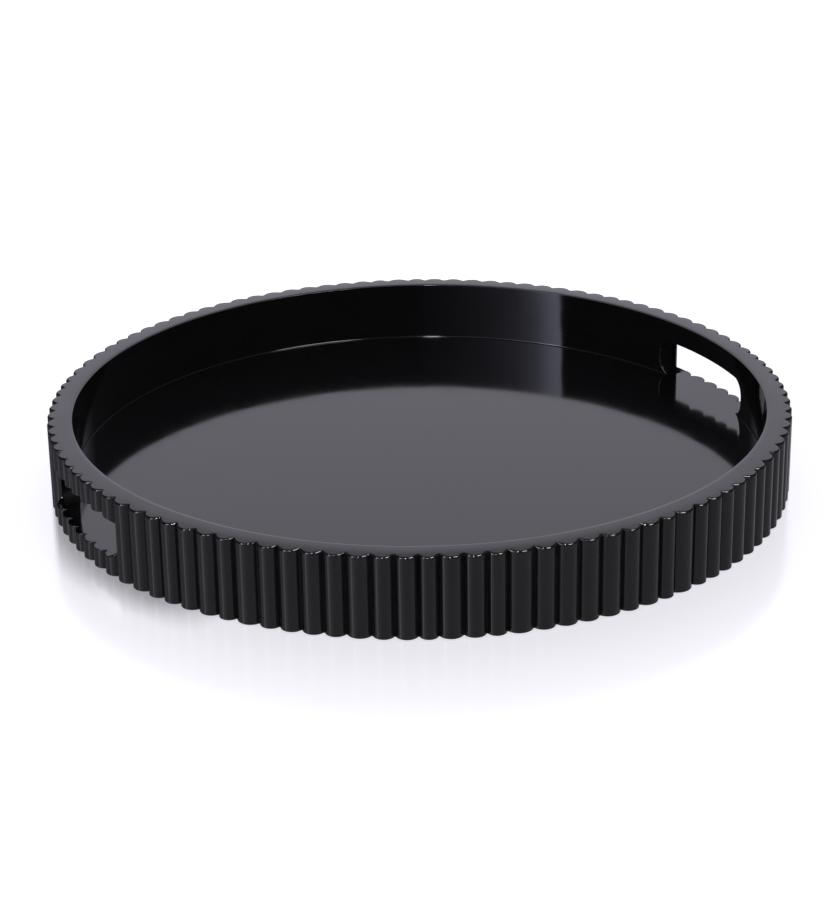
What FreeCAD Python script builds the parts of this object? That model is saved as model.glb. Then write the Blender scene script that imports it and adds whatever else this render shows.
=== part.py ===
import FreeCAD, Part
import math
import os

os.makedirs("parts", exist_ok=True)

V = FreeCAD.Vector

# Round serving tray: a thick round board, a low bentwood hoop standing on it in two
# laminations, and a skin of half-round reeds glued upright round the outside, with a
# hand hole cut straight through the wall at each end of the X axis.
# Frame: millimetres, +Z up, origin on the axis at the surface the tray stands on,
# hand holes on +X (right) and -X (left).

# ---- driving dimensions --------------------------------------------------------
CREST_R = 228.6        # tips of the reeds: the tray is 457.2 mm (18 in) across
GLUE_R = 224.2         # outside of the board and of the hoop, behind the reeds
WELL_R = 214.2         # inside of the hoop
FOOT = 0.5             # how far the felt pads stand proud of the underside
BOARD_T = 12.0         # thickness of the base board
WALL_H = 38.0          # height of the hoop above the board
PLY_T = 5.0            # thickness of each lamination of the hoop
GLUE_LINE = 0.16       # between the two laminations
REED_GLUE = 0.05       # between a reed's flat back and the hoop
REED_EDGE = 0.5        # thickness of a reed at its two long edges
REED_CLEAR = 0.04      # each side of a reed, at its back
INNER_ARRIS = 1.0      # rounding of the rim's inner edge
OUTER_ARRIS = 1.6      # rounding of the rim's outer edge, on the reeds
HOLE_HALF = 47.2       # half length of a hand hole, along Y
HOLE_H = 24.0          # height of a hand hole above the tray's floor
HOLE_R = 10.5          # corner radius of the hole in the hoop
HOLE_R_REEDS = 7.5     # corner radius of the hole where it is cut in the reeds
JOINT = 0.2            # gap at a butt joint between two half hoops
INNER_JOINTS = (60.0, 240.0)   # where the inner half hoops meet, degrees
OUTER_JOINTS = (120.0, 300.0)  # where the outer half hoops meet, staggered
PAD_R = 10.0           # felt pads
PAD_T = 1.5
PAD_CIRCLE = 178.0
PAD_COUNT = 6
PAD_CLEAR = 0.15       # round a pad in its shallow seat

Z0 = FOOT                      # underside of the board and of the reeds
FLOOR = Z0 + BOARD_T           # the tray's floor
TOP = FLOOR + WALL_H           # top of the rim
HOLE_TOP = FLOOR + HOLE_H

# Edges between neighbouring reeds, degrees from +X. The strips were laid by hand and
# differ a little in width, 108 in all. The seven over each hand hole are short.
REED_EDGES = [
    -11.8, -8.9, -5.65, -2.2, 1.1, 4.45, 7.95, 11.6,
    14.75, 18.22, 21.47, 24.56, 27.61, 30.89, 34.36, 37.77, 40.99, 44.39, 47.46, 50.71,
    54.16, 57.55, 61.00, 63.96, 67.59, 70.60, 73.95, 77.11, 80.56, 83.87, 87.22, 90.64,
    93.96, 97.18, 100.61, 103.95, 107.10, 110.54, 114.05, 117.36, 120.79, 123.92, 127.51,
    131.25, 135.10, 138.97, 142.25, 144.94, 148.28, 151.68, 154.79, 158.16, 161.54, 164.88,
    168.2, 171.5, 175.0, 178.3, 181.4, 184.9, 188.35, 191.75,
    195.20, 198.87, 202.02, 205.23, 208.64, 212.06, 215.02, 218.70, 221.82, 225.14, 228.42,
    231.64, 235.24, 238.46, 241.80, 244.61, 248.10, 251.37, 254.29, 258.14, 261.47, 264.84,
    268.22, 271.75, 274.91, 278.48, 281.27, 285.20, 288.24, 291.44, 294.57, 298.06, 301.45,
    304.67, 308.14, 311.51, 315.07, 318.26, 321.76, 325.04, 328.62, 331.79, 335.15, 338.35,
    341.74, 345.05, 348.2,
]
SHORT = 7              # short reeds over each hand hole


def save(name, solids):
    shape = solids[0] if len(solids) == 1 else Part.makeCompound(solids)
    for s in shape.Solids:
        if not s.isValid():
            raise RuntimeError(name + " has an invalid solid")
    shape.exportStep("parts/%s.step" % name)
    print("%-20s %3d solids %10.0f mm3" % (name, len(shape.Solids), shape.Volume))


def one(shape):
    """The single solid that a boolean leaves."""
    solids = shape.Solids
    if len(solids) != 1:
        raise RuntimeError("expected one solid, got %d" % len(solids))
    return solids[0]


def face(edges):
    return Part.Face(Part.Wire(edges))


def line(a, b):
    return Part.makeLine(a, b)


def arc(a, m, b):
    return Part.Arc(a, m, b).toShape()


def ring(edges, start, sweep):
    """Turns a profile drawn in the XZ plane about Z, from one angle through another."""
    f = face(edges)
    f.rotate(V(0, 0, 0), V(0, 0, 1), start)
    return f.revolve(V(0, 0, 0), V(0, 0, 1), sweep)


def corner(cx, cz, r, quadrant):
    """Quarter arc in the XZ plane about (cx, cz)."""
    pts = []
    for k in (0, 1, 2):
        t = math.radians(90.0 * quadrant + 45.0 * k)
        pts.append(V(cx + r * math.cos(t), 0, cz + r * math.sin(t)))
    return pts


def hole_cutter(side, bottom, r):
    """Rounded bar running along X through the wall, at +X or -X."""
    y, zt, zb = HOLE_HALF, HOLE_TOP, bottom

    def p(yy, zz):
        return V(0, yy, zz)

    def c(cy, cz, a):
        t = math.radians(a)
        return V(0, cy + r * math.cos(t), cz + r * math.sin(t))

    edges = [
        line(p(-y + r, zb), p(y - r, zb)),
        arc(c(y - r, zb + r, 270), c(y - r, zb + r, 315), c(y - r, zb + r, 360)),
        line(p(y, zb + r), p(y, zt - r)),
        arc(c(y - r, zt - r, 0), c(y - r, zt - r, 45), c(y - r, zt - r, 90)),
        line(p(y - r, zt), p(-y + r, zt)),
        arc(c(-y + r, zt - r, 90), c(-y + r, zt - r, 135), c(-y + r, zt - r, 180)),
        line(p(-y, zt - r), p(-y, zb + r)),
        arc(c(-y + r, zb + r, 180), c(-y + r, zb + r, 225), c(-y + r, zb + r, 270)),
    ]
    f = face(edges)
    x0, x1 = (180.0, 250.0) if side > 0 else (-250.0, -180.0)
    f.translate(V(x0, 0, 0))
    return f.extrude(V(x1 - x0, 0, 0))


# ---- base board: one thick disc, with shallow seats for the felt pads ----------
board = Part.makeCylinder(GLUE_R, BOARD_T, V(0, 0, Z0))
pads = []
for i in range(PAD_COUNT):
    t = math.radians(30.0 + 360.0 / PAD_COUNT * i)
    at = V(PAD_CIRCLE * math.cos(t), PAD_CIRCLE * math.sin(t), 0)
    board = board.cut(Part.makeCylinder(PAD_R + PAD_CLEAR, PAD_T, at))
    pads.append(Part.makeCylinder(PAD_R, PAD_T, at))
save("base_board", [one(board)])
save("felt_pads", pads)

# ---- hoop: two laminations, each of two half hoops, joints staggered -----------
r0, r1 = WELL_R, WELL_R + PLY_T - GLUE_LINE / 2
a = corner(r0 + INNER_ARRIS, TOP - INNER_ARRIS, INNER_ARRIS, 1)
inner_profile = [
    line(V(r0, 0, FLOOR), V(r1, 0, FLOOR)),
    line(V(r1, 0, FLOOR), V(r1, 0, TOP)),
    line(V(r1, 0, TOP), a[0]),
    arc(a[0], a[1], a[2]),
    line(a[2], V(r0, 0, FLOOR)),
]
r2, r3 = WELL_R + PLY_T + GLUE_LINE / 2, GLUE_R
outer_profile = [
    line(V(r2, 0, FLOOR), V(r3, 0, FLOOR)),
    line(V(r3, 0, FLOOR), V(r3, 0, TOP)),
    line(V(r3, 0, TOP), V(r2, 0, TOP)),
    line(V(r2, 0, TOP), V(r2, 0, FLOOR)),
]
wall_cut = {+1: hole_cutter(+1, FLOOR - 0.3, HOLE_R), -1: hole_cutter(-1, FLOOR - 0.3, HOLE_R)}
for ply, profile, joints, radius in (
        ("inner", inner_profile, INNER_JOINTS, WELL_R), ("outer", outer_profile, OUTER_JOINTS, GLUE_R)):
    gap = math.degrees(JOINT / radius)
    # the half that holds the +X hole ends at the first joint, the other starts there
    for name, start, side in (("right", joints[1] - 360.0, +1), ("left", joints[0], -1)):
        half = ring(profile, start + gap / 2, 180.0 - gap)
        save("hoop_%s_%s" % (ply, name), [one(half.cut(wall_cut[side]))])

# ---- reeds: half-round strips standing all the way round ------------------------
reed_cut = {+1: hole_cutter(+1, FLOOR, HOLE_R_REEDS), -1: hole_cutter(-1, FLOOR, HOLE_R_REEDS)}
b = corner(CREST_R - OUTER_ARRIS, TOP - OUTER_ARRIS, OUTER_ARRIS, 0)
top_cut = ring([
    arc(b[0], b[1], b[2]),
    line(b[2], V(b[2].x, 0, TOP + 1)),
    line(V(b[2].x, 0, TOP + 1), V(CREST_R + 1, 0, TOP + 1)),
    line(V(CREST_R + 1, 0, TOP + 1), V(CREST_R + 1, 0, b[0].z)),
    line(V(CREST_R + 1, 0, b[0].z), b[0]),
], -4.0, 8.0)


def reed(a0, a1):
    """One full-height strip between two edge angles: flat back, arched front."""
    half = math.radians(a1 - a0) / 2
    x0 = GLUE_R + REED_GLUE
    w = x0 * math.tan(half) - REED_CLEAR
    p0, p1, p2 = V(x0, -w, Z0), V(x0 + REED_EDGE, -w, Z0), V(CREST_R, 0, Z0)
    p3, p4 = V(x0 + REED_EDGE, w, Z0), V(x0, w, Z0)
    f = face([line(p0, p1), arc(p1, p2, p3), line(p3, p4), line(p4, p0)])
    s = one(f.extrude(V(0, 0, TOP - Z0)).cut(top_cut))
    s.rotate(V(0, 0, 0), V(0, 0, 1), (a0 + a1) / 2)
    return s


groups = {"reeds_front": [], "reeds_back": [],
          "reeds_right_upper": [], "reeds_right_lower": [],
          "reeds_left_upper": [], "reeds_left_lower": []}
left_first = min(i for i, e in enumerate(REED_EDGES) if e > 168.0)
for i in range(len(REED_EDGES) - 1):
    s = reed(REED_EDGES[i], REED_EDGES[i + 1])
    if i < SHORT:
        side, word = +1, "right"
    elif left_first <= i < left_first + SHORT:
        side, word = -1, "left"
    else:
        groups["reeds_back" if i < left_first else "reeds_front"].append(s)
        continue
    parts = sorted(s.cut(reed_cut[side]).Solids, key=lambda q: q.CenterOfMass.z)
    if len(parts) != 2:
        raise RuntimeError("a short reed did not split in two")
    groups["reeds_%s_lower" % word].append(parts[0])
    groups["reeds_%s_upper" % word].append(parts[1])
for name in sorted(groups):
    save(name, groups[name])
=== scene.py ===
import math

import bmesh
import bpy
import numpy as np
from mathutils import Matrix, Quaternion, Vector


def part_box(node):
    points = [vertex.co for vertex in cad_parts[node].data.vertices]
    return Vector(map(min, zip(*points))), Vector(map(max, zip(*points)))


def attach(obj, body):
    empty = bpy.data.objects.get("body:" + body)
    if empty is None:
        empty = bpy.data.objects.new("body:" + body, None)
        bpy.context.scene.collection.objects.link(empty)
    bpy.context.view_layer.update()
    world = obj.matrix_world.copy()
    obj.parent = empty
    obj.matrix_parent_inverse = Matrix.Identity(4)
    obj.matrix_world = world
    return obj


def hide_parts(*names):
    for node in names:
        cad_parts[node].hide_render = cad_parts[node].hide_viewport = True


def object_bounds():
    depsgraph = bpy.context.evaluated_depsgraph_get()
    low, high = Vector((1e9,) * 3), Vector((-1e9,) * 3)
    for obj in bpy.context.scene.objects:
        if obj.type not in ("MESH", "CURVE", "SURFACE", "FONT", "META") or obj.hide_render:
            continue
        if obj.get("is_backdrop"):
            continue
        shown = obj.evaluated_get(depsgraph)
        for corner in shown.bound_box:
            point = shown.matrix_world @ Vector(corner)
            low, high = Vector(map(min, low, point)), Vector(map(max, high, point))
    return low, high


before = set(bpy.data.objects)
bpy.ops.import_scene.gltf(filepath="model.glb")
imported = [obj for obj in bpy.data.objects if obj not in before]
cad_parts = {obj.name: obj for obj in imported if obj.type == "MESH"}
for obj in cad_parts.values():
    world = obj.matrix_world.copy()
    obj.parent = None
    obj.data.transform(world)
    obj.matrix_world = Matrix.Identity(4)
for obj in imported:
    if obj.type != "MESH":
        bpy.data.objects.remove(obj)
CAD_LO, CAD_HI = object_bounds()

# ------------------------------------------------------------------ dimensions, mm
# They follow the CAD model, and the boxes of its nodes are read to make sure.
CREST_R, GLUE_R, PLY_R, WELL_R = 228.6, 224.2, 219.2, 214.2
Z0, FLOOR, TOP = 0.5, 12.5, 50.5
HOLE_HALF, HOLE_H, HOLE_R, HOLE_R_REEDS = 47.2, 24.0, 10.5, 7.5
HOLE_TOP = FLOOR + HOLE_H
PAD_R, PAD_T, PAD_CIRCLE, PAD_COUNT, PAD_CLEAR = 10.0, 1.5, 178.0, 6, 0.15
# The lacquer stands a little proud of the wood on the rim and on the crests of the reeds.
COAT_TOP, COAT_CREST, COAT_WALL = 0.40, 0.60, 0.40
INNER_ARRIS_WIDE, INNER_ARRIS_HIGH, INNER_EDGE = 2.8, 0.34, 0.28
CROWN_R, CROWN = 216.8, 0.0042      # the rim top is slightly domed, sanded by hand
SHORT = 7
REED_EDGES = [
    -11.8, -8.9, -5.65, -2.2, 1.1, 4.45, 7.95, 11.6,
    14.75, 18.22, 21.47, 24.56, 27.61, 30.89, 34.36, 37.77, 40.99, 44.39, 47.46, 50.71,
    54.16, 57.55, 61.00, 63.96, 67.59, 70.60, 73.95, 77.11, 80.56, 83.87, 87.22, 90.64,
    93.96, 97.18, 100.61, 103.95, 107.10, 110.54, 114.05, 117.36, 120.79, 123.92, 127.51,
    131.25, 135.10, 138.97, 142.25, 144.94, 148.28, 151.68, 154.79, 158.16, 161.54, 164.88,
    168.2, 171.5, 175.0, 178.3, 181.4, 184.9, 188.35, 191.75,
    195.20, 198.87, 202.02, 205.23, 208.64, 212.06, 215.02, 218.70, 221.82, 225.14, 228.42,
    231.64, 235.24, 238.46, 241.80, 244.61, 248.10, 251.37, 254.29, 258.14, 261.47, 264.84,
    268.22, 271.75, 274.91, 278.48, 281.27, 285.20, 288.24, 291.44, 294.57, 298.06, 301.45,
    304.67, 308.14, 311.51, 315.07, 318.26, 321.76, 325.04, 328.62, 331.79, 335.15, 338.35,
    341.74, 345.05, 348.2,
]
for node, lo_z, hi_z in (("base_board", Z0, FLOOR), ("hoop_inner_left", FLOOR, TOP),
                         ("reeds_front", Z0, TOP), ("reeds_left_upper", HOLE_TOP - 8, TOP)):
    lo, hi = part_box(node)
    if abs(lo.z * 1000 - lo_z) > 8 or abs(hi.z * 1000 - hi_z) > 0.2:
        raise RuntimeError("the CAD model has moved: " + node)
if abs(CAD_HI.x * 1000 - CREST_R) > 0.3:
    raise RuntimeError("the CAD model has another radius")
CREST_R, TOP, WELL_R = CREST_R + COAT_CREST, TOP + COAT_TOP, WELL_R - COAT_WALL

rng = np.random.RandomState(20261)


def crown(r):
    """How far the rim's top lies below TOP at radius r."""
    d = np.maximum(np.asarray(r, float) - CROWN_R, 0.0)
    far = np.maximum(d - 8.0, 0.0)
    near = np.minimum(d, 8.0)
    return CROWN * near ** 2 + 2 * CROWN * 8.0 * far


# ------------------------------------------------------------------ mesh helpers
class Builder:
    """Collects patches of points (in mm) and ngons, and welds them into one closed mesh."""

    def __init__(self):
        self.v, self.f = [], []

    def patch(self, pts):
        p = np.asarray(pts, float)
        n, m = p.shape[:2]
        base = len(self.v)
        self.v.extend(p.reshape(-1, 3).tolist())
        for i in range(n - 1):
            for j in range(m - 1):
                a = base + i * m + j
                self.f.append((a, a + 1, a + m + 1, a + m))

    def ngon(self, pts):
        base = len(self.v)
        self.v.extend(np.asarray(pts, float).tolist())
        self.f.append(tuple(range(base, base + len(pts))))

    def make(self, name, material, fill_flat=False, sharp=38.0, weld=2e-6):
        mesh = bpy.data.meshes.new(name)
        mesh.from_pydata((np.asarray(self.v) * 0.001).tolist(), [], self.f)
        bm = bmesh.new()
        bm.from_mesh(mesh)
        bmesh.ops.remove_doubles(bm, verts=bm.verts, dist=weld)
        bmesh.ops.dissolve_degenerate(bm, dist=weld, edges=bm.edges)
        if fill_flat:
            edges = [e for e in bm.edges if e.is_boundary]
            if edges:
                bmesh.ops.holes_fill(bm, edges=edges, sides=0)
        bmesh.ops.recalc_face_normals(bm, faces=bm.faces)
        bm.to_mesh(mesh)
        bm.free()
        mesh.polygons.foreach_set("use_smooth", [True] * len(mesh.polygons))
        mesh.set_sharp_from_angle(angle=math.radians(sharp))
        mesh.materials.append(material)
        mesh.update()
        obj = bpy.data.objects.new(name, mesh)
        bpy.context.scene.collection.objects.link(obj)
        w = obj.modifiers.new("normals", "WEIGHTED_NORMAL")
        w.keep_sharp = True
        w.weight = 100
        return obj


def turn(p, degrees):
    p = np.asarray(p, float)
    c, s = math.cos(math.radians(degrees)), math.sin(math.radians(degrees))
    q = p.copy()
    q[..., 0] = p[..., 0] * c - p[..., 1] * s
    q[..., 1] = p[..., 0] * s + p[..., 1] * c
    return q


# ------------------------------------------------------------------ materials
def nodes_of(name):
    mat = bpy.data.materials.new(name)
    mat.use_nodes = True
    nt = mat.node_tree
    for n in list(nt.nodes):
        nt.nodes.remove(n)
    out = nt.nodes.new("ShaderNodeOutputMaterial")
    bsdf = nt.nodes.new("ShaderNodeBsdfPrincipled")
    nt.links.new(bsdf.outputs[0], out.inputs[0])
    return mat, nt, bsdf


def noise(nt, vec, scale, detail=2.0, rough=0.5, distortion=0.0):
    n = nt.nodes.new("ShaderNodeTexNoise")
    n.inputs["Scale"].default_value = scale
    n.inputs["Detail"].default_value = detail
    n.inputs["Roughness"].default_value = rough
    n.inputs["Distortion"].default_value = distortion
    nt.links.new(vec, n.inputs["Vector"])
    return n.outputs["Fac"]


def ramp(nt, fac, stops):
    r = nt.nodes.new("ShaderNodeValToRGB")
    cr = r.color_ramp
    ends = (cr.elements[0], stops[0]), (cr.elements[1], stops[-1])
    for e, (pos, col) in ends:
        e.position = pos
        e.color = (*col, 1.0)
    for pos, col in stops[1:-1]:
        cr.elements.new(pos).color = (*col, 1.0)
    nt.links.new(fac, r.inputs[0])
    return r.outputs[0]


def span(nt, fac, a, b, lo=0.0, hi=1.0):
    m = nt.nodes.new("ShaderNodeMapRange")
    m.inputs["From Min"].default_value = lo
    m.inputs["From Max"].default_value = hi
    m.inputs["To Min"].default_value = a
    m.inputs["To Max"].default_value = b
    nt.links.new(fac, m.inputs["Value"])
    return m.outputs[0]


def bump(nt, height, distance, normal=None, strength=1.0):
    b = nt.nodes.new("ShaderNodeBump")
    b.inputs["Strength"].default_value = strength
    b.inputs["Distance"].default_value = distance
    nt.links.new(height, b.inputs["Height"])
    if normal is not None:
        nt.links.new(normal, b.inputs["Normal"])
    return b.outputs[0]


def lacquer(name, rough_lo, rough_hi, wave, peel, grain=0.0, seed=0.0, ground=0.0088, size=24.0,
            spec=0.5):
    """Black gloss lacquer: a nearly black ground with a faint cloud, a slow waviness from
    sanding and brushing out, a fine orange peel, and gloss that varies a little."""
    mat, nt, bsdf = nodes_of(name)
    tc = nt.nodes.new("ShaderNodeTexCoord")
    mp = nt.nodes.new("ShaderNodeMapping")
    mp.inputs["Location"].default_value = (seed, seed * 0.7, -seed)
    nt.links.new(tc.outputs["Object"], mp.inputs[0])
    vec = mp.outputs[0]
    cloud = noise(nt, vec, 22.0, 3.0, 0.55)
    col = ramp(nt, cloud, [(0.30, (ground * 0.88, ground * 0.87, ground * 0.91)), (0.70, (ground * 1.12, ground * 1.10, ground * 1.14))])
    nt.links.new(col, bsdf.inputs["Base Color"])
    bsdf.inputs["IOR"].default_value = 1.5
    bsdf.inputs["Specular IOR Level"].default_value = spec
    gloss = noise(nt, vec, 60.0, 4.0, 0.6)
    nt.links.new(span(nt, gloss, rough_lo, rough_hi, 0.3, 0.7), bsdf.inputs["Roughness"])
    n1 = bump(nt, noise(nt, vec, size, 1.0, 0.4), wave)
    n2 = bump(nt, noise(nt, vec, 520.0, 2.0, 0.5), peel, n1)
    last = n2
    if grain:
        st = nt.nodes.new("ShaderNodeMapping")
        st.inputs["Scale"].default_value = (900.0, 900.0, 26.0)
        nt.links.new(tc.outputs["Object"], st.inputs[0])
        last = bump(nt, noise(nt, st.outputs[0], 1.0, 2.0, 0.5), grain, n2)
    nt.links.new(last, bsdf.inputs["Normal"])
    return mat


LACQUER_BOARD = lacquer("lacquer_board", 0.07, 0.095, 9.0e-5, 1.2e-6, ground=0.0148)
LACQUER_HOOP = lacquer("lacquer_hoop", 0.05, 0.075, 4.0e-4, 1.2e-6, grain=1.0e-6, seed=3.1, ground=0.0155)
LACQUER_REEDS = lacquer("lacquer_reeds", 0.085, 0.13, 1.6e-4, 2.0e-6, grain=5.0e-6, seed=7.7)
# the cut edges of the hand holes: end grain under thin lacquer, rough and uneven
LACQUER_CUT = lacquer("lacquer_cut", 0.45, 0.70, 1.6e-3, 1.5e-5, seed=5.3, ground=0.0045, size=110.0, spec=0.06)


def felt_material():
    mat, nt, bsdf = nodes_of("felt")
    tc = nt.nodes.new("ShaderNodeTexCoord")
    vec = tc.outputs["Object"]
    fibre = noise(nt, vec, 2600.0, 4.0, 0.7, 1.5)
    tufts = noise(nt, vec, 500.0, 3.0, 0.6)
    mix = nt.nodes.new("ShaderNodeMath")
    mix.operation = "MULTIPLY"
    nt.links.new(fibre, mix.inputs[0])
    nt.links.new(tufts, mix.inputs[1])
    col = ramp(nt, mix.outputs[0], [(0.08, (0.010, 0.010, 0.011)), (0.45, (0.045, 0.045, 0.048))])
    nt.links.new(col, bsdf.inputs["Base Color"])
    bsdf.inputs["Roughness"].default_value = 0.95
    bsdf.inputs["Sheen Weight"].default_value = 0.4
    bsdf.inputs["Sheen Roughness"].default_value = 0.5
    bsdf.inputs["Specular IOR Level"].default_value = 0.1
    nt.links.new(bump(nt, mix.outputs[0], 4.0e-4), bsdf.inputs["Normal"])
    return mat


FELT = felt_material()


# ------------------------------------------------------------------ base board
def wobble(angles, amplitude, count, lo, hi):
    """Smooth periodic unevenness round the tray, from a few seeded harmonics."""
    out = np.zeros_like(angles)
    for _ in range(count):
        k = rng.randint(lo, hi)
        out += rng.uniform(0.4, 1.0) * np.sin(k * angles + rng.uniform(0, 2 * math.pi))
    return amplitude * out / math.sqrt(count)


def board():
    b = Builder()
    n = 1440
    t = np.linspace(0, 2 * math.pi, n + 1)
    t[-1] = 0.0
    c, s = np.cos(t), np.sin(t)
    # the lacquer gathers in a fine cove where the wall meets the floor, and not in the holes
    y = WELL_R * np.abs(s)
    inhole = np.clip((44.0 - y) / 4.0, 0, 1)
    inhole = inhole * inhole * (3 - 2 * inhole)
    wide = (0.85 + wobble(t, 0.13, 10, 6, 60)) * (1 - inhole) + 0.004
    high = (0.75 + wobble(t, 0.12, 10, 8, 90)) * (1 - inhole)
    wide[-1], high[-1] = wide[0], high[0]
    rows = []

    def row(r, z):
        r = r + np.zeros(n + 1)
        z = z + np.zeros(n + 1)
        rows.append(np.stack([r * c, r * s, z], 1))

    for r in (30.0, 90.0, 150.0, 200.0, 210.0):
        row(r, FLOOR)
    for k in range(9):
        a = math.radians(90.0 * k / 8)
        row(WELL_R - wide + wide * math.sin(a), FLOOR + high * (1 - math.cos(a)))
    row(WELL_R + 0.04, FLOOR + high)
    row(WELL_R + 0.06, FLOOR)
    row(GLUE_R, FLOOR)
    row(GLUE_R, Z0 + 0.3)
    row(GLUE_R - 0.3, Z0)
    b.patch(rows)
    b.ngon(rows[0][:-1])
    mesh = bpy.data.meshes.new("board_raw")
    mesh.from_pydata((np.asarray(b.v) * 0.001).tolist(), [], b.f)
    bm = bmesh.new()
    bm.from_mesh(mesh)
    bpy.data.meshes.remove(mesh)
    bmesh.ops.remove_doubles(bm, verts=bm.verts, dist=1.5e-6)
    bmesh.ops.dissolve_degenerate(bm, dist=1.5e-6, edges=bm.edges)
    rim = [e for e in bm.edges if e.is_boundary]
    # seats of the felt pads
    loops = list(rim)
    for i in range(PAD_COUNT):
        a = math.radians(30.0 + 360.0 / PAD_COUNT * i)
        cx, cy = PAD_CIRCLE * math.cos(a), PAD_CIRCLE * math.sin(a)
        low, high_ = [], []
        for k in range(72):
            q = 2 * math.pi * k / 72
            x, yy = cx + (PAD_R + PAD_CLEAR) * math.cos(q), cy + (PAD_R + PAD_CLEAR) * math.sin(q)
            low.append(bm.verts.new((x * 0.001, yy * 0.001, Z0 * 0.001)))
            high_.append(bm.verts.new((x * 0.001, yy * 0.001, PAD_T * 0.001)))
        for k in range(72):
            bm.faces.new((low[k], low[(k + 1) % 72], high_[(k + 1) % 72], high_[k]))
            loops.append(bm.edges.get((low[k], low[(k + 1) % 72])))
        bm.faces.new(high_)
    bmesh.ops.triangle_fill(bm, edges=loops, use_beauty=True, use_dissolve=False)
    bmesh.ops.recalc_face_normals(bm, faces=bm.faces)
    mesh = bpy.data.meshes.new("tray_board")
    bm.to_mesh(mesh)
    bm.free()
    mesh.polygons.foreach_set("use_smooth", [True] * len(mesh.polygons))
    mesh.set_sharp_from_angle(angle=math.radians(32))
    mesh.materials.append(LACQUER_BOARD)
    obj = bpy.data.objects.new("tray_board", mesh)
    bpy.context.scene.collection.objects.link(obj)
    w = obj.modifiers.new("normals", "WEIGHTED_NORMAL")
    w.keep_sharp = True
    w.weight = 100
    return obj


# ------------------------------------------------------------------ hoop
FRAME_Y = 60.0


def outline(o, n_arc=16, n_side=5, n_top=36):
    """The hand hole's outline in (y, z), grown by o, from the floor on one side over the
    top to the floor on the other. The cut runs 0.3 mm into the board's level."""
    r = HOLE_R + o
    yc = HOLE_HALF - HOLE_R
    zb, zt = FLOOR - 0.3 + HOLE_R, HOLE_TOP - HOLE_R
    start = 180.0 + math.degrees(math.asin((zb - FLOOR) / r))
    pts = []
    for a in np.linspace(start, 180.0, n_arc):
        pts.append((-yc + r * math.cos(math.radians(a)), zb + r * math.sin(math.radians(a))))
    pts[0] = (pts[0][0], FLOOR)
    for z in np.linspace(zb, zt, n_side)[1:-1]:
        pts.append((-yc - r, z))
    for a in np.linspace(180.0, 90.0, n_arc):
        pts.append((-yc + r * math.cos(math.radians(a)), zt + r * math.sin(math.radians(a))))
    left = len(pts)
    for y in np.linspace(-yc, yc, n_top)[1:-1]:
        pts.append((y, zt + r))
    pts += [(-y, z) for y, z in reversed(pts[:left])]
    return np.array(pts), n_arc + n_side - 2 + n_arc // 2


def frame_line(count, corner, z_top):
    """Points of the frame round the hole, one for each outline point."""
    side = np.linspace(FLOOR, z_top, corner + 1)
    top = np.linspace(-FRAME_Y, FRAME_Y, count - 2 * corner)
    pts = [(-FRAME_Y, z) for z in side[:-1]]
    pts += [(y, z_top) for y in top]
    pts += [(FRAME_Y, z) for z in side[:-1][::-1]]
    return np.array(pts), side, top


def on_ring(yz, radius):
    y, z = yz[..., 0], yz[..., 1]
    return np.stack([np.sqrt(radius ** 2 - y ** 2), y, z], -1)


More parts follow.
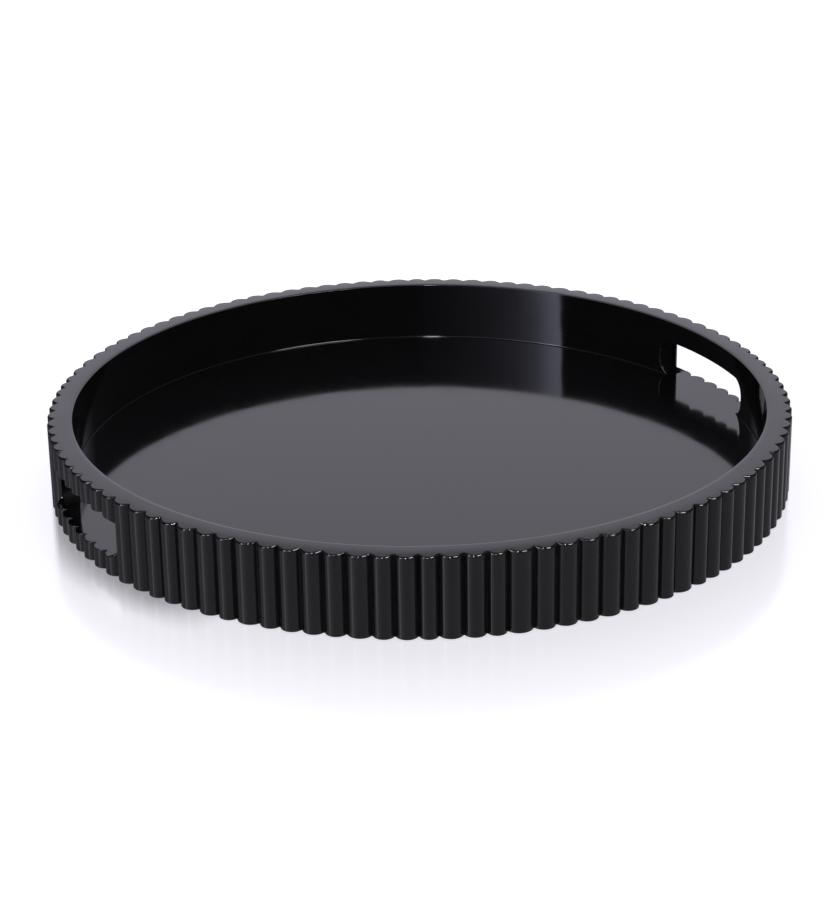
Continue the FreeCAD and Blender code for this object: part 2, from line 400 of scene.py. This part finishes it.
def hoop_half(name, r0, r1, first, last, around, arris, hole_arris):
    """Half of one lamination. first and last are its joints, in degrees from its hole."""
    b = Builder()
    z_in = TOP - (INNER_ARRIS_HIGH + INNER_EDGE if arris else float(crown(r0)))
    z_out = TOP - float(crown(r1))
    base_out, corner = outline(0.0)
    count = len(base_out)
    grow = np.linspace(0, 1, 9) ** 1.5

    ref = math.degrees(math.asin(FRAME_Y / r0))
    steps = {joint: max(2, int(round(abs(joint - sign * ref) / 0.5)))
             for joint, sign in ((first, -1), (last, 1))}

    def sweep(radius, z_list):
        """Rows at the given radii and heights, from the frame to each joint."""
        for joint, sign in ((first, -1), (last, 1)):
            rows = []
            for r, z in zip(radius, z_list):
                edge = sign * math.degrees(math.asin(FRAME_Y / r))
                th = np.radians(np.linspace(edge, joint, steps[joint] + 1))
                rows.append(np.stack([r * np.cos(th), r * np.sin(th), np.full_like(th, z)], 1))
            b.patch(turn(np.array(rows), around))

    def face(radius, o, z_top):
        line0, _ = outline(o)
        line1, side, top = frame_line(count, corner, z_top)
        rings = [on_ring(line0 * (1 - g) + line1 * g, radius) for g in grow]
        b.patch([turn(r, around) for r in rings])
        sweep([radius] * len(side), side)
        return side, top

    side_in, top_y = face(r0, hole_arris, z_in)
    side_out, _ = face(r1, 0.0, z_out)
    # top, with the rounded inner edge
    prof = []
    if arris:
        slope = 2 * INNER_ARRIS_HIGH / INNER_ARRIS_WIDE
        corner_a = math.pi / 2 - math.atan(slope)
        for k in range(8):
            a = corner_a * k / 7
            prof.append((r0 + INNER_EDGE * (1 - math.cos(a)), z_in + INNER_EDGE * math.sin(a)))
        r_a, z_a = prof[-1]
        wide = r0 + INNER_ARRIS_WIDE - r_a
        for k in range(1, 9):
            q = 1 - k / 8
            prof.append((r_a + wide * k / 8, TOP - (TOP - z_a) * q * q))
    else:
        prof.append((r0, z_in))
    for r in np.linspace(prof[-1][0], r1, 6)[1:]:
        prof.append((float(r), TOP - float(crown(r))))
    rows = [on_ring(np.stack([top_y, np.full_like(top_y, z)], 1), r) for r, z in prof]
    b.patch([turn(x, around) for x in rows])
    sweep([r for r, z in prof], [z for r, z in prof])
    # the hole's own wall
    stations = []
    if hole_arris:
        for k in range(7):
            a = math.radians(90.0 * k / 6)
            stations.append((hole_arris * (1 - math.sin(a)), r0 + hole_arris * (1 - math.cos(a))))
    else:
        stations.append((0.0, r0))
    stations.append((0.0, (r0 + r1) / 2))
    stations.append((0.0, r1))
    b.patch([turn(on_ring(outline(o)[0], r), around) for o, r in stations])
    # ends at the joints
    for joint in (first, last):
        t = math.radians(joint)
        pts = [(r0, z) for z in side_in] + prof[1:-1] + [(r1, z) for z in side_out[::-1]]
        b.ngon(turn(np.array([(r * math.cos(t), r * math.sin(t), z) for r, z in pts]), around))
    obj = b.make(name, LACQUER_HOOP, fill_flat=True)
    obj.data.materials.append(LACQUER_CUT)
    back_turn = math.radians(-around)
    for p in obj.data.polygons:
        c, nm = p.center, p.normal
        y = c.x * math.sin(back_turn) + c.y * math.cos(back_turn)
        radial = (nm.x * c.x + nm.y * c.y) / math.hypot(c.x, c.y)
        if abs(y) < HOLE_HALF * 0.001 + 2e-4 and c.z < HOLE_TOP * 0.001 + 2e-4 and abs(radial) < 0.6:
            p.material_index = 1
    return obj


# ------------------------------------------------------------------ reeds
LACQUER_IN_GROOVE = [0.34 + 0.52 * rng.beta(1.3, 2.8) for _ in REED_EDGES]
LACQUER_IN_GROOVE[-1] = LACQUER_IN_GROOVE[0]


def reed_profile(half, f_left, f_right, crest):
    """Front of one strip across its width, in its own frame (radial x, sideways y), with
    its outward normals: an arch that runs out into the lacquer at the bottom of each groove."""
    edge = GLUE_R + 0.25
    h = crest - edge
    b0 = edge * math.tan(half)
    rho = (b0 * b0 + h * h) / (2 * h)
    xc = crest - rho
    flares = []
    for f in (f_left, f_right):
        level, q = GLUE_R + f - 0.02, 0.0
        while q < 0.02:
            level += 0.02
            b = level * math.tan(half)
            a = level - xc
            q = (b * b - rho * rho + a * a) / (2 * (rho - a))
        flares.append((b, q, level + q))
    pts, nrm = [], []
    b, q, xf = flares[0]
    psi_l = math.atan2(b, xf - xc)
    pts = [(xf + q * math.cos(math.pi + psi_l * k / 6), -(b + q * math.sin(math.pi + psi_l * k / 6)))
           for k in range(6)]
    nrm = [(-math.cos(math.pi + psi_l * k / 6), math.sin(math.pi + psi_l * k / 6)) for k in range(6)]
    b, q, xf = flares[1]
    psi_r = math.atan2(b, xf - xc)
    for psi in np.linspace(-psi_l, psi_r, 27):
        pts.append((xc + rho * math.cos(psi), rho * math.sin(psi)))
        nrm.append((math.cos(psi), math.sin(psi)))
    for k in range(5, -1, -1):
        beta = math.pi + psi_r * k / 6
        pts.append((xf + q * math.cos(beta), b + q * math.sin(beta)))
        nrm.append((-math.cos(beta), -math.sin(beta)))
    return np.array(pts), np.array(nrm)


def corner_drop(y):
    """How far the rounded corner of the hole in the reeds reaches in, at a given y."""
    yc = HOLE_HALF - HOLE_R_REEDS
    d = np.clip(np.abs(y) - yc, 0, HOLE_R_REEDS * 0.999)
    return HOLE_R_REEDS - np.sqrt(HOLE_R_REEDS ** 2 - d ** 2)


def add_reed(b, index, lower, upper):
    """lower and upper say where the strip ends: foot, rim, or the sill or head of a hole."""
    a0, a1 = REED_EDGES[index], REED_EDGES[index + 1]
    half, mid = math.radians(a1 - a0) / 2, (a0 + a1) / 2
    pts, nrm = reed_profile(half, LACQUER_IN_GROOVE[index], LACQUER_IN_GROOVE[index + 1],
                            CREST_R - REED_LOW[index])
    m = len(pts)
    wide = pts[:, 0] - GLUE_R
    rounding = {"foot": np.minimum(0.55, 0.5 * wide), "rim": np.minimum(REED_SOFT[index], 0.6 * wide),
                "sill": np.minimum(0.5, 0.5 * wide), "head": np.minimum(0.5, 0.5 * wide)}
    about = math.radians(mid)
    y_world = pts[:, 0] * math.sin(about) + pts[:, 1] * math.cos(about)
    level = {"foot": np.full(m, Z0), "rim": np.full(m, TOP),
             "sill": FLOOR + corner_drop(y_world), "head": HOLE_TOP - corner_drop(y_world)}
    rows = []
    steps = 6
    for k in range(steps + 1):                       # lower rounding, from the cap outwards
        a = math.radians(90.0 * k / steps)
        r = rounding[lower]
        off = r * (1 - math.sin(a))
        z = level[lower] + r * (1 - math.cos(a))
        rows.append(np.stack([pts[:, 0] - nrm[:, 0] * off, pts[:, 1] - nrm[:, 1] * off, z], 1))
    for k in range(steps + 1):
        a = math.radians(90.0 * k / steps)
        r = rounding[upper]
        off = r * (1 - math.cos(a))
        x, y = pts[:, 0] - nrm[:, 0] * off, pts[:, 1] - nrm[:, 1] * off
        z = level[upper] - r * (1 - math.sin(a))
        if upper == "rim":
            z = z - crown(np.hypot(x, y))
        rows.append(np.stack([x, y, z], 1))
    rows = np.array(rows)
    # the outer columns stay in the plane shared with the next strip
    for j, sgn in ((0, -1), (m - 1, 1)):
        rows[:, j, 1] = sgn * rows[:, j, 0] * math.tan(half)
    limit = GLUE_R * math.tan(half)
    back_y = np.where(np.abs(pts[:, 1]) > limit - 0.02, np.sign(pts[:, 1]) * limit, pts[:, 1])
    back_low = np.stack([np.full(m, GLUE_R), back_y, rows[0, :, 2]], 1)
    back_high = np.stack([np.full(m, GLUE_R), back_y, rows[-1, :, 2]], 1)
    if upper == "rim":
        back_high[:, 2] = TOP - crown(GLUE_R)
    b.patch(turn(rows, mid))
    b.patch(turn(np.array([back_low, rows[0]]), mid))
    b.patch(turn(np.array([rows[-1], back_high]), mid))
    b.patch(turn(np.array([back_high, back_low]), mid))
    for j in (0, m - 1):
        loop = list(rows[:, j]) + [back_high[j], back_low[j]]
        b.ngon(turn(np.array(loop), mid))


REED_LOW = [rng.uniform(0.0, 0.12) for _ in REED_EDGES]
REED_SOFT = [rng.uniform(1.05, 1.40) for _ in REED_EDGES]
LEFT_FIRST = min(i for i, e in enumerate(REED_EDGES) if e > 168.0)


def run_of_reeds(name, indices, lower, upper):
    b = Builder()
    obj_rows = []
    meshes = []
    for i in indices:
        one = Builder()
        add_reed(one, i, lower, upper)
        base = len(b.v)
        b.v.extend(one.v)
        b.f.extend([tuple(k + base for k in f) for f in one.f])
        meshes.append(base)
    # each strip is welded on its own, so neighbours stay separate solids
    mesh = bpy.data.meshes.new(name)
    verts, faces = [], []
    bounds = meshes + [len(b.v)]
    f_by = [[] for _ in indices]
    for f in b.f:
        k = int(np.searchsorted(bounds, f[0], side="right")) - 1
        f_by[k].append(f)
    for k in range(len(meshes)):
        lo, hi = bounds[k], bounds[k + 1]
        part = bmesh.new()
        tmp = bpy.data.meshes.new("tmp")
        tmp.from_pydata((np.asarray(b.v[lo:hi]) * 0.001).tolist(), [],
                        [tuple(q - lo for q in f) for f in f_by[k]])
        part.from_mesh(tmp)
        bmesh.ops.remove_doubles(part, verts=part.verts, dist=2e-6)
        bmesh.ops.dissolve_degenerate(part, dist=2e-6, edges=part.edges)
        bmesh.ops.recalc_face_normals(part, faces=part.faces)
        part.verts.index_update()
        off = len(verts)
        verts.extend([tuple(v.co) for v in part.verts])
        faces.extend([tuple(v.index + off for v in f.verts) for f in part.faces])
        part.free()
        bpy.data.meshes.remove(tmp)
    mesh.from_pydata(verts, [], faces)
    mesh.polygons.foreach_set("use_smooth", [True] * len(mesh.polygons))
    mesh.set_sharp_from_angle(angle=math.radians(38))
    mesh.materials.append(LACQUER_REEDS)
    mesh.update()
    obj = bpy.data.objects.new(name, mesh)
    bpy.context.scene.collection.objects.link(obj)
    w = obj.modifiers.new("normals", "WEIGHTED_NORMAL")
    w.keep_sharp = True
    w.weight = 100
    return obj


# ------------------------------------------------------------------ felt pads
def felt_pads():
    b = Builder()
    for i in range(PAD_COUNT):
        a = math.radians(30.0 + 360.0 / PAD_COUNT * i)
        cx, cy = PAD_CIRCLE * math.cos(a), PAD_CIRCLE * math.sin(a)
        t = np.linspace(0, 2 * math.pi, 97)
        t[-1] = 0.0
        rough = 0.05 * np.sin(13 * t + i) + 0.04 * np.sin(29 * t + 2 * i)
        rows = []
        for r, z in ((3.0, 0.0), (7.0, 0.0), (PAD_R - 0.35, 0.0), (PAD_R - 0.12, 0.06),
                     (PAD_R - 0.03, 0.16), (PAD_R, 0.35), (PAD_R, PAD_T), (7.0, PAD_T)):
            rr = r + (rough if r > PAD_R - 0.5 and z < 0.5 else 0.0)
            rows.append(np.stack([cx + rr * np.cos(t), cy + rr * np.sin(t),
                                  np.full_like(t, z)], 1))
        b.patch(rows)
        b.ngon(rows[0][:-1])
        b.ngon(rows[-1][:-1])
    return b.make("tray_felt_pads", FELT, sharp=60.0)


# ------------------------------------------------------------------ the object
pieces = []


def keep(obj, slot, *nodes):
    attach(obj, "root")
    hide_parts(*nodes)
    pieces.append(obj)


keep(board(), "lacquered_board", "base_board")
keep(hoop_half("tray_hoop_inner_right", WELL_R, PLY_R, -120.0, 60.0, 0.0, True, 0.6),
     "lacquered_hoop", "hoop_inner_right")
keep(hoop_half("tray_hoop_inner_left", WELL_R, PLY_R, -120.0, 60.0, 180.0, True, 0.6),
     "lacquered_hoop", "hoop_inner_left")
keep(hoop_half("tray_hoop_outer_right", PLY_R, GLUE_R, -60.0, 120.0, 0.0, False, 0.0),
     "lacquered_hoop", "hoop_outer_right")
keep(hoop_half("tray_hoop_outer_left", PLY_R, GLUE_R, -60.0, 120.0, 180.0, False, 0.0),
     "lacquered_hoop", "hoop_outer_left")
right = range(0, SHORT)
left = range(LEFT_FIRST, LEFT_FIRST + SHORT)
keep(run_of_reeds("tray_reeds_back", range(SHORT, LEFT_FIRST), "foot", "rim"),
     "lacquered_reeds", "reeds_back")
keep(run_of_reeds("tray_reeds_front", range(LEFT_FIRST + SHORT, len(REED_EDGES) - 1), "foot", "rim"),
     "lacquered_reeds", "reeds_front")
for word, which in (("right", right), ("left", left)):
    keep(run_of_reeds("tray_reeds_%s_lower" % word, which, "foot", "sill"),
         "lacquered_reeds", "reeds_%s_lower" % word)
    keep(run_of_reeds("tray_reeds_%s_upper" % word, which, "head", "rim"),
         "lacquered_reeds", "reeds_%s_upper" % word)
keep(felt_pads(), "felt", "felt_pads")

# ------------------------------------------------------------------ the studio
scene = bpy.context.scene
scene.view_settings.view_transform = "Standard"
scene.view_settings.look = "None"
scene.view_settings.exposure = 0.0
scene.view_settings.gamma = 1.0

CAM_AZ = -27.7           # the camera stands this far round from -Y


def unit(azimuth, elevation):
    """Direction from the tray, azimuth in degrees from +X, counter-clockwise."""
    a, e = math.radians(azimuth), math.radians(elevation)
    return Vector((math.cos(a) * math.cos(e), math.sin(a) * math.cos(e), math.sin(e)))


def floor():
    mesh = bpy.data.meshes.new("studio_floor")
    s = 9.0
    mesh.from_pydata([(-s, -s, 0), (s, -s, 0), (s, s, 0), (-s, s, 0)], [], [(0, 1, 2, 3)])
    mat = bpy.data.materials.new("studio_floor")
    mat.use_nodes = True
    nt = mat.node_tree
    for n in list(nt.nodes):
        nt.nodes.remove(n)
    out = nt.nodes.new("ShaderNodeOutputMaterial")
    diff = nt.nodes.new("ShaderNodeBsdfPrincipled")
    diff.inputs["Base Color"].default_value = (0.80, 0.80, 0.82, 1)
    diff.inputs["IOR"].default_value = 2.0
    tc = nt.nodes.new("ShaderNodeTexCoord")
    nt.links.new(span(nt, noise(nt, tc.outputs["Object"], 30.0, 3.0, 0.6), 0.15, 0.20, 0.3, 0.7),
                 diff.inputs["Roughness"])
    # painted light: the floor glows by its own emission, and its brightness is set below by position on the
    # floor
    diff.inputs["Emission Color"].default_value = (0.955, 0.948, 1.0, 1)
    far = nt.nodes.new("ShaderNodeVectorMath")
    far.operation = "LENGTH"
    nt.links.new(tc.outputs["Object"], far.inputs[0])
    # painted shade near the tray: the glow is dimmer round the tray and rises with distance, a painted pool of
    # light
    painted_glow_by_distance = ramp(nt, span(nt, far.outputs["Value"], 0.0, 1.0, 0.20, 0.50),
                [(0.0, (0.62,) * 3), (0.12, (0.66,) * 3), (0.21, (0.715,) * 3), (0.33, (0.78,) * 3),
                 (0.44, (0.82,) * 3), (0.60, (0.84,) * 3), (1.0, (0.92,) * 3)])
    more = nt.nodes.new("ShaderNodeMath")
    more.operation = "MULTIPLY"
    more.inputs[1].default_value = 1.12
    # painted shadow, not cast by any lamp: the floor's glow is turned down in a band just round the tray, on
    # the side away from the right lamp, ending at a straight outer border
    painted_shadow_band = ramp(nt, far.outputs["Value"], [(0.0, (0.0,) * 3), (0.214, (0.0,) * 3), (0.224, (1.0,) * 3),
                                            (0.231, (1.0,) * 3), (0.243, (0.42,) * 3), (0.252, (0.0,) * 3),
                                            (1.0, (0.0,) * 3)])
    side, edge = (nt.nodes.new("ShaderNodeVectorMath") for _ in range(2))
    side.operation = edge.operation = "DOT_PRODUCT"
    nt.links.new(tc.outputs["Object"], side.inputs[0])
    nt.links.new(tc.outputs["Object"], edge.inputs[0])
    side.inputs[1].default_value = unit(212.0 + CAM_AZ, 0.0)
    edge.inputs[1].default_value = unit(CAM_AZ, 0.0) + 0.157 * unit(90.0 + CAM_AZ, 0.0)
    ratio, painted_shadow_side, painted_shadow_mask = (nt.nodes.new("ShaderNodeMath") for _ in range(3))
    ratio.operation = "DIVIDE"
    nt.links.new(side.outputs["Value"], ratio.inputs[0])
    nt.links.new(far.outputs["Value"], ratio.inputs[1])
    painted_shadow_side.operation = painted_shadow_mask.operation = "MULTIPLY"
    nt.links.new(span(nt, ratio.outputs[0], 0.0, 1.0, 0.875, 0.956), painted_shadow_side.inputs[0])
    nt.links.new(span(nt, edge.outputs["Value"], 0.0, 1.0, -0.2335, -0.2295), painted_shadow_side.inputs[1])
    nt.links.new(painted_shadow_side.outputs[0], painted_shadow_mask.inputs[0])
    nt.links.new(painted_shadow_band, painted_shadow_mask.inputs[1])
    # the painted shadow takes up to 60 per cent off the painted glow
    painted_floor_glow = nt.nodes.new("ShaderNodeMath")
    painted_floor_glow.operation = "MULTIPLY"
    nt.links.new(painted_glow_by_distance, painted_floor_glow.inputs[0])
    nt.links.new(span(nt, painted_shadow_mask.outputs[0], 1.0, 0.40), painted_floor_glow.inputs[1])
    nt.links.new(painted_floor_glow.outputs[0], more.inputs[0])
    nt.links.new(more.outputs[0], diff.inputs["Emission Strength"])
    clear = nt.nodes.new("ShaderNodeBsdfTransparent")
    geo = nt.nodes.new("ShaderNodeNewGeometry")
    mix = nt.nodes.new("ShaderNodeMixShader")
    nt.links.new(geo.outputs["Backfacing"], mix.inputs[0])
    nt.links.new(diff.outputs[0], mix.inputs[1])
    nt.links.new(clear.outputs[0], mix.inputs[2])
    nt.links.new(mix.outputs[0], out.inputs[0])
    mat.cycles.emission_sampling = "NONE"
    mesh.materials.append(mat)
    obj = bpy.data.objects.new("studio_floor", mesh)
    scene.collection.objects.link(obj)
    obj.visible_glossy = False
    obj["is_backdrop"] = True
    return obj


def softbox(name, azimuth, elevation, distance, width, height, profile, colour):
    """A panel of light facing the tray. profile gives its brightness across the width."""
    mesh = bpy.data.meshes.new(name)
    mesh.from_pydata([(-width / 2, -height / 2, 0), (width / 2, -height / 2, 0),
                      (width / 2, height / 2, 0), (-width / 2, height / 2, 0)], [], [(0, 1, 2, 3)])
    uv = mesh.uv_layers.new(name="uv")
    for k, c in enumerate(((0, 0), (1, 0), (1, 1), (0, 1))):
        uv.data[k].uv = c
    mat = bpy.data.materials.new(name)
    mat.use_nodes = True
    nt = mat.node_tree
    for n in list(nt.nodes):
        nt.nodes.remove(n)
    out = nt.nodes.new("ShaderNodeOutputMaterial")
    emit = nt.nodes.new("ShaderNodeEmission")
    emit.inputs["Color"].default_value = (*colour, 1)
    tc = nt.nodes.new("ShaderNodeTexCoord")
    sep = nt.nodes.new("ShaderNodeSeparateXYZ")
    nt.links.new(tc.outputs["UV"], sep.inputs[0])
    top = max(v for _, v in profile)
    across = ramp(nt, sep.outputs[0], [(p, (v / top,) * 3) for p, v in profile])
    m2 = nt.nodes.new("ShaderNodeMath")
    m2.operation = "MULTIPLY"
    m2.inputs[1].default_value = top
    nt.links.new(across, m2.inputs[0])
    nt.links.new(m2.outputs[0], emit.inputs["Strength"])
    nt.links.new(emit.outputs[0], out.inputs[0])
    mesh.materials.append(mat)
    obj = bpy.data.objects.new(name, mesh)
    scene.collection.objects.link(obj)
    d = unit(azimuth, elevation)
    obj.location = d * distance
    obj.rotation_mode = "QUATERNION"
    obj.rotation_quaternion = d.to_track_quat("Z", "Y")
    obj.visible_camera = False
    obj.visible_diffuse = False
    obj.visible_shadow = False
    obj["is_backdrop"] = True
    return obj


floor()
softbox("softbox_left", 215.4, 30.0, 1.7, 1.62, 1.30,
        [(0.0, 10.8), (0.10, 7.8), (0.20, 3.8), (0.32, 1.8), (0.50, 0.9),
         (0.75, 0.40), (1.0, 0.1)], (0.97, 0.98, 1.26))
softbox("lamp_right", 289.3, 50.0, 1.7, 0.754, 0.42, [(0.0, 18.0), (0.15, 25.0), (0.85, 25.0), (1.0, 18.0)],
        (1.0, 0.99, 1.06))
softbox("lamp_above_camera", 236.4, 44.0, 1.7, 0.11, 0.24, [(0.0, 115.0), (1.0, 115.0)],
        (1.0, 0.99, 1.06))

world = bpy.data.worlds.new("studio")
scene.world = world
world.use_nodes = True
nt = world.node_tree
for n in list(nt.nodes):
    nt.nodes.remove(n)
out = nt.nodes.new("ShaderNodeOutputWorld")
tc = nt.nodes.new("ShaderNodeTexCoord")
sep = nt.nodes.new("ShaderNodeSeparateXYZ")
nt.links.new(tc.outputs["Generated"], sep.inputs[0])


def smooth(value, lo, hi, a, b):
    m = nt.nodes.new("ShaderNodeMapRange")
    m.interpolation_type = "SMOOTHSTEP"
    m.inputs["From Min"].default_value = lo
    m.inputs["From Max"].default_value = hi
    m.inputs["To Min"].default_value = a
    m.inputs["To Max"].default_value = b
    nt.links.new(value, m.inputs["Value"])
    return m.outputs[0]


def maths(op, a, b):
    m = nt.nodes.new("ShaderNodeMath")
    m.operation = op
    for k, x in enumerate((a, b)):
        if isinstance(x, (int, float)):
            m.inputs[k].default_value = x
        else:
            nt.links.new(x, m.inputs[k])
    return m.outputs[0]


# azimuth round the tray as 0..1, counted from the camera's right so that the back is at 1/4
turned = maths("ADD", maths("ARCTAN2", sep.outputs[1], sep.outputs[0]), math.radians(-CAM_AZ))
around = maths("FRACT", maths("ADD", maths("DIVIDE", turned, 2 * math.pi), 1.0), 0.0)


def levels(fac, stops):
    """A grey level that follows a list of (position, level)."""
    top = max(v for _, v in stops)
    return maths("MULTIPLY", ramp(nt, fac, [(p, (v / top,) * 3) for p, v in stops]), top)


FRONT = 0.10
# the pale sweep behind the tray, by the sine of the elevation: bright up to about 27 degrees
sweep = levels(sep.outputs[2], [(0.0, 0.70), (0.17, 0.75), (0.34, 0.83), (0.46, 0.86), (0.54, 0.62),
                                (0.70, 0.42), (1.0, 0.25)])
behind = levels(around, [(0.160, 0.0), (0.205, 1.0), (0.295, 1.0), (0.325, 0.0)])
front = levels(sep.outputs[2], [(0.0, FRONT), (0.6, FRONT), (1.0, 0.25)])
upper = maths("ADD", maths("MULTIPLY", sweep, behind),
              maths("MULTIPLY", front, maths("SUBTRACT", 1.0, behind)))
# the table as the sides of the tray see it, by azimuth
table = levels(around, [(0.0, 0.35), (0.08, 0.36), (0.14, 0.44), (0.19, 0.38), (0.25, 0.20), (0.36, 0.16),
                        (0.44, 0.20), (0.48, 0.28), (0.52, 0.34), (0.550, 0.50), (0.560, 1.20),
                        (0.576, 1.20), (0.588, 0.62), (0.625, 0.50), (0.66, 0.40), (0.70, 0.33),
                        (0.75, 0.31), (0.85, 0.32), (0.93, 0.35)])
down = smooth(sep.outputs[2], -0.03, 0.02, 1.0, 0.0)
strength = maths("ADD", maths("MULTIPLY", upper, maths("SUBTRACT", 1.0, down)),
                 maths("MULTIPLY", down, table))
bg = nt.nodes.new("ShaderNodeBackground")
bg.inputs["Color"].default_value = (1.0, 0.98, 1.115, 1)
nt.links.new(strength, bg.inputs["Strength"])
white = nt.nodes.new("ShaderNodeBackground")
white.inputs["Color"].default_value = (1, 1, 1, 1)
white.inputs["Strength"].default_value = 1.05
path = nt.nodes.new("ShaderNodeLightPath")
mix = nt.nodes.new("ShaderNodeMixShader")
nt.links.new(path.outputs["Is Camera Ray"], mix.inputs[0])
nt.links.new(bg.outputs[0], mix.inputs[1])
nt.links.new(white.outputs[0], mix.inputs[2])
nt.links.new(mix.outputs[0], out.inputs[0])

# ------------------------------------------------------------------ the camera
cam_data = bpy.data.cameras.new("camera")
cam = bpy.data.objects.new("camera", cam_data)
scene.collection.objects.link(cam)
cam_data.sensor_width = 36.0
cam_data.lens = 100.25
cam_data.clip_start, cam_data.clip_end = 0.05, 60.0
elevation = math.radians(23.1375)
back = Vector((math.sin(math.radians(CAM_AZ)) * math.cos(elevation),
               -math.cos(math.radians(CAM_AZ)) * math.cos(elevation), math.sin(elevation)))
aim = Vector((-0.0001, 0.0, 0.00921 + 0.0005))
cam.location = aim + back * 1.6044
cam.rotation_mode = "QUATERNION"
cam.rotation_quaternion = (-back).to_track_quat("-Z", "Y") @ Quaternion((0, 0, 1), math.radians(-0.844))
scene.camera = cam

lo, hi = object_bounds()
